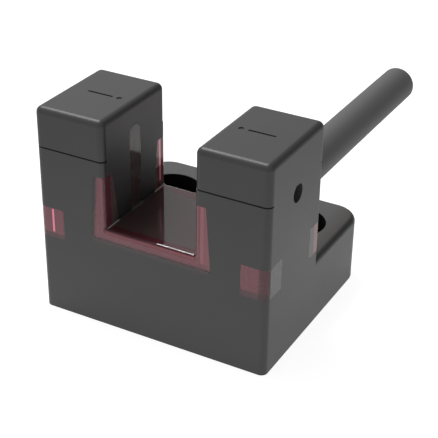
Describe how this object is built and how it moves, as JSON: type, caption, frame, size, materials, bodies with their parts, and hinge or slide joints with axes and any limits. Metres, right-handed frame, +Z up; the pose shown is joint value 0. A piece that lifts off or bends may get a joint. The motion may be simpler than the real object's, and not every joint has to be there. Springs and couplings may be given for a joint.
{
  "type": "fork sensor",
  "caption": "Fork sensor: light barrier in a black forked housing with a clear red slot lining, indicator windows, rear mounting flange, trimmer and a short cable.",
  "frame": {"origin": "centre of the housing's footprint, on its underside", "axes": "+X across the fork from the emitter prong to the receiver prong, +Y from the front face back to the mounting flange, +Z up out of the slot"},
  "size_m": [0.0376, 0.0611, 0.0332],
  "materials": {
    "black_plastic": "fine moulded grain",
    "clear_red": "polished, clear dark red",
    "board_green": "solder mask",
    "receiver_epoxy": "dark epoxy",
    "emitter_epoxy": "clear bluish epoxy",
    "dark_metal": "blackened sheet",
    "chip_black": "moulding compound",
    "tantalum_yellow": "moulded case",
    "ceramic_tan": "ceramic",
    "resistor_black": "glazed",
    "trimmer_blue": "moulded",
    "rotor_white": "moulded",
    "grommet_rubber": "matt",
    "tinned_metal": "tinned",
    "led_white": "moulded",
    "cable_grey_black": "satin jacket",
    "insulation_brown": "extruded",
    "insulation_white": "extruded",
    "insulation_blue": "extruded",
    "insulation_black": "extruded",
    "copper": "drawn copper"
  },
  "bodies": {
    "sensor": {"housing_shell": "black_plastic", "light_body": "clear_red", "receiver_cap": "black_plastic", "emitter_cap": "black_plastic", "base_cover": "black_plastic", "circuit_board": "board_green", "receiver_diode": "receiver_epoxy", "emitter_diode": "emitter_epoxy", "receiver_slit_plate": "dark_metal", "emitter_slit_plate": "dark_metal", "controller_chip": "chip_black", "output_transistors": "chip_black", "emitter_driver": "chip_black", "receiver_amplifier": "chip_black", "voltage_regulator": "chip_black", "tantalum_capacitor": "tantalum_yellow", "chip_capacitors": "ceramic_tan", "chip_resistors": "resistor_black", "trimmer_body": "trimmer_blue", "cable_grommet": "grommet_rubber", "crimp_ring": "tinned_metal", "left_front_led": "led_white", "right_front_led": "led_white", "left_rear_led": "led_white", "right_rear_led": "led_white", "cable_jacket": "cable_grey_black", "core_brown": "insulation_brown", "core_white": "insulation_white", "core_blue": "insulation_blue", "core_black": "insulation_black", "conductors": "copper"},
    "adjuster": {"trimmer_rotor": "rotor_white"}
  },
  "joints": [
    {"name": "sensitivity_turn", "type": "hinge", "parent": "sensor", "child": "adjuster", "pos_m": [0.0169, -0.00855, 0.0256], "axis": [1, 0, 0], "range_deg": [-135, 135]}
  ]
}
